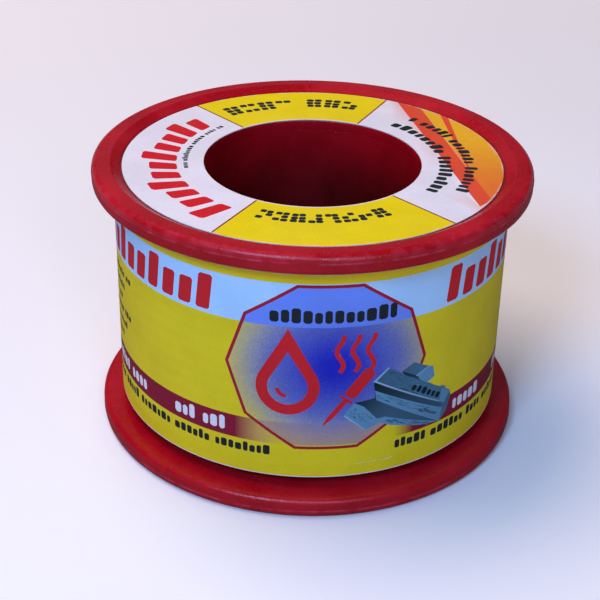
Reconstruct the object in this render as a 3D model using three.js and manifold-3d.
// A spool of solder wire: a two-piece moulded bobbin, the wire wound on it in layers, and two paper labels.
// Units are millimetres. +Z is the spool's axis, z = 0 is the face it stands on, and -Y is the label's front.
import * as THREE from "three";
import { mergeVertices } from "three/addons/utils/BufferGeometryUtils.js";
import Module from "manifold-3d";

const wasm = await Module();
wasm.setup();

// Driving dimensions of the bobbin.
const SPOOL_HEIGHT = 38.6;
const FLANGE_RADIUS = 30;
const BORE_RADIUS = 14.8;
const RIM_HEIGHT = 2.8;
const RIM_CORNER = 0.5;
const RIM_LAND_INNER_RADIUS = 27.45;
const RECESS_DEPTH = 0.9;
const RECESS_RADIUS = 25.9;

// The lower half's sleeve slides inside the upper half's barrel.
const SLEEVE_RADIUS = 15.7;
const SOCKET_RADIUS = 15.8;
const BARREL_RADIUS = 16.85;
const SLEEVE_END_GAP = 0.2;
const BARREL_END_GAP = 0.3;
const TOP_STEP_DEPTH = 1.4;

// The wire: one length of 2 mm solder, wound in layers a diameter apart.
const WIRE_DIAMETER = 2;
const LAYER_COUNT = 5;
const TURNS_PER_LAYER = 16;
const LAYER_RING_THICKNESS = 1.6;

// The hole that the wire's inner end starts from, in the lower flange beside the barrel.
const START_HOLE_RADIUS = 1.4;
const START_ANGLE = (50 * Math.PI) / 180;
const TAIL_RECESS = 0.1;
const TAIL_END_GAP = 0.3;

// The paper labels.
const PAPER = 0.2;
const WRAP_RADIUS = 27.08;
const WRAP_LOW = 4.6;
const WRAP_HIGH = 34.8;
const LAP_ANGLE = (11 * Math.PI) / 180;
const LAP_RISE_ANGLE = (8 * Math.PI) / 180;
const LAP_LIFT = 0.28;
const RING_LABEL_MARGIN = 0.05;
const RING_LABEL_GAP = 0.05;

// Facets round the axis.
const BOBBIN_SEGMENTS = 72;
const WIRE_SEGMENTS = 48;
const WRAP_SEGMENTS = 96;
const HOLE_SEGMENTS = 16;
const CORNER_SEGMENTS = 3;

// Places worked out from the dimensions above.
const RECESS_FLOOR_LOW = RECESS_DEPTH;
const RECESS_FLOOR_HIGH = SPOOL_HEIGHT - RECESS_DEPTH;
const WINDING_LOW = RIM_HEIGHT;
const WINDING_HIGH = SPOOL_HEIGHT - RIM_HEIGHT;
const FIRST_LAYER_RADIUS = BARREL_RADIUS + WIRE_DIAMETER / 2;
const WOUND_WIDTH = TURNS_PER_LAYER * WIRE_DIAMETER;
const WOUND_LOW = (WINDING_LOW + WINDING_HIGH - WOUND_WIDTH) / 2;

const moulded = new THREE.MeshStandardMaterial({ color: 0xa81020, roughness: 0.42, metalness: 0 });
const solder = new THREE.MeshStandardMaterial({ color: 0xb9bcc0, roughness: 0.34, metalness: 1 });
const wrapPaper = new THREE.MeshStandardMaterial({ color: 0xd2be1e, roughness: 0.48, metalness: 0 });
const ringPaper = new THREE.MeshStandardMaterial({ color: 0xe2cf52, roughness: 0.5, metalness: 0 });

// A body turned round +Z from a closed outline of [radius, height] points.
function turned(outline, segments) {
  const points = [...outline, outline[0]].map(([radius, height]) => new THREE.Vector2(radius, height));
  const geometry = new THREE.LatheGeometry(points, segments);
  geometry.rotateX(Math.PI / 2);
  return geometry;
}

// A rounded corner's points, from one angle to another about its centre.
function corner(centreRadius, centreHeight, fromDegrees, toDegrees) {
  const points = [];
  for (let i = 0; i <= CORNER_SEGMENTS; i += 1) {
    const angle = THREE.MathUtils.degToRad(fromDegrees + ((toDegrees - fromDegrees) * i) / CORNER_SEGMENTS);
    points.push([centreRadius + RIM_CORNER * Math.cos(angle), centreHeight + RIM_CORNER * Math.sin(angle)]);
  }
  return points;
}

// The same outline seen from the other end of the spool, in the order that keeps its faces outwards.
function mirrored(outline) {
  return outline.map(([radius, height]) => [radius, SPOOL_HEIGHT - height]).reverse();
}

// The flange's outline from the bore's edge out to the rim and back to its winding face.
function flangeOutline() {
  const cornerCentre = FLANGE_RADIUS - RIM_CORNER;
  return [
    [BORE_RADIUS, RECESS_DEPTH],
    [RECESS_RADIUS, RECESS_DEPTH],
    [RIM_LAND_INNER_RADIUS, 0],
    ...corner(cornerCentre, RIM_CORNER, -90, 0),
    ...corner(cornerCentre, RIM_HEIGHT - RIM_CORNER, 0, 90),
  ];
}

function solidOf(geometry) {
  const bare = geometry.clone();
  bare.deleteAttribute("normal");
  bare.deleteAttribute("uv");
  const merged = mergeVertices(bare, 1e-4);
  return new wasm.Manifold(
    new wasm.Mesh({
      numProp: 3,
      vertProperties: new Float32Array(merged.attributes.position.array),
      triVerts: new Uint32Array(merged.index.array),
    }),
  );
}

function geometryOf(solid) {
  const mesh = solid.getMesh();
  const geometry = new THREE.BufferGeometry();
  geometry.setAttribute("position", new THREE.BufferAttribute(mesh.vertProperties, mesh.numProp));
  geometry.setIndex(new THREE.BufferAttribute(mesh.triVerts, 1));
  geometry.computeVertexNormals();
  return geometry;
}

// A cylinder along +Z at the wire's starting place.
function startCylinder(radius, low, high) {
  const geometry = new THREE.CylinderGeometry(radius, radius, high - low, HOLE_SEGMENTS);
  geometry.rotateX(Math.PI / 2);
  geometry.translate(
    FIRST_LAYER_RADIUS * Math.cos(START_ANGLE),
    FIRST_LAYER_RADIUS * Math.sin(START_ANGLE),
    (low + high) / 2,
  );
  return geometry;
}

// The lower half: its flange, the sleeve that the bore runs through, and the wire's starting hole.
function lowerBobbinHalf() {
  const sleeveTop = RECESS_FLOOR_HIGH - TOP_STEP_DEPTH - SLEEVE_END_GAP;
  const outline = [
    ...flangeOutline(),
    [SLEEVE_RADIUS, RIM_HEIGHT],
    [SLEEVE_RADIUS, sleeveTop],
    [BORE_RADIUS, sleeveTop],
  ];
  const body = solidOf(turned(outline, BOBBIN_SEGMENTS));
  const hole = solidOf(startCylinder(START_HOLE_RADIUS, -RIM_HEIGHT, 2 * RIM_HEIGHT));
  return geometryOf(body.subtract(hole));
}

// The upper half: its flange, and the barrel that the wire is wound on, which is the sleeve's socket.
function upperBobbinHalf() {
  const barrelEnd = WINDING_LOW + BARREL_END_GAP;
  const socketTop = RECESS_FLOOR_HIGH - TOP_STEP_DEPTH;
  const outline = [
    ...mirrored(flangeOutline()),
    [BORE_RADIUS, socketTop],
    [SOCKET_RADIUS, socketTop],
    [SOCKET_RADIUS, barrelEnd],
    [BARREL_RADIUS, barrelEnd],
    [BARREL_RADIUS, WINDING_HIGH],
  ];
  return turned(outline, BOBBIN_SEGMENTS);
}

// A flat-sided ring between two radii and two heights.
function ring(innerRadius, outerRadius, low, high, segments) {
  return turned(
    [
      [innerRadius, low],
      [outerRadius, low],
      [outerRadius, high],
      [innerRadius, high],
    ],
    segments,
  );
}

// One wound layer, as a ring that holds the same metal as its turns.
function wireLayer(index) {
  const middle = FIRST_LAYER_RADIUS + index * WIRE_DIAMETER;
  const half = LAYER_RING_THICKNESS / 2;
  return ring(middle - half, middle + half, WOUND_LOW, WOUND_LOW + WOUND_WIDTH, WIRE_SEGMENTS);
}

// The wire's inner end, which drops from the first turn into the starting hole and is cut off inside it.
function wireStartTail() {
  return startCylinder(WIRE_DIAMETER / 2, RECESS_FLOOR_LOW + TAIL_RECESS, WOUND_LOW - TAIL_END_GAP);
}

// How far the wrapped paper has lifted over its own start, by the angle wrapped so far.
function lapLift(wrapped) {
  const rising = (wrapped - (2 * Math.PI - LAP_RISE_ANGLE)) / LAP_RISE_ANGLE;
  return LAP_LIFT * THREE.MathUtils.smoothstep(rising, 0, 1);
}

// The label round the winding: one strip, wrapped a full turn and lapped over its own start at the back.
function wrapLabel() {
  const total = 2 * Math.PI + LAP_ANGLE;
  const start = Math.PI / 2 - LAP_ANGLE / 2;
  const outer = [];
  const inner = [];
  for (let i = 0; i <= WRAP_SEGMENTS; i += 1) {
    const wrapped = (total * i) / WRAP_SEGMENTS;
    const radius = WRAP_RADIUS + lapLift(wrapped);
    const angle = start + wrapped;
    outer.push(new THREE.Vector2(radius * Math.cos(angle), radius * Math.sin(angle)));
    inner.push(new THREE.Vector2((radius - PAPER) * Math.cos(angle), (radius - PAPER) * Math.sin(angle)));
  }
  const strip = new THREE.Shape([...outer, ...inner.reverse()]);
  const geometry = new THREE.ExtrudeGeometry(strip, { depth: WRAP_HIGH - WRAP_LOW, bevelEnabled: false });
  geometry.translate(0, 0, WRAP_LOW);
  return geometry;
}

// The flat ring label, in the upper flange's recess.
function topRingLabel() {
  const low = RECESS_FLOOR_HIGH + RING_LABEL_GAP;
  return ring(
    BORE_RADIUS + RING_LABEL_MARGIN,
    RECESS_RADIUS - RING_LABEL_MARGIN,
    low,
    low + PAPER,
    BOBBIN_SEGMENTS,
  );
}

const spool = new THREE.Group();

function addPart(name, geometry, material) {
  const mesh = new THREE.Mesh(geometry, material);
  mesh.name = name;
  spool.add(mesh);
}

addPart("lower_bobbin_half", lowerBobbinHalf(), moulded);
addPart("upper_bobbin_half", upperBobbinHalf(), moulded);
addPart("wire_start_tail", wireStartTail(), solder);
for (let index = 0; index < LAYER_COUNT; index += 1) {
  addPart(`wire_layer_${index + 1}`, wireLayer(index), solder);
}
addPart("wrap_label", wrapLabel(), wrapPaper);
addPart("top_ring_label", topRingLabel(), ringPaper);

export default spool;
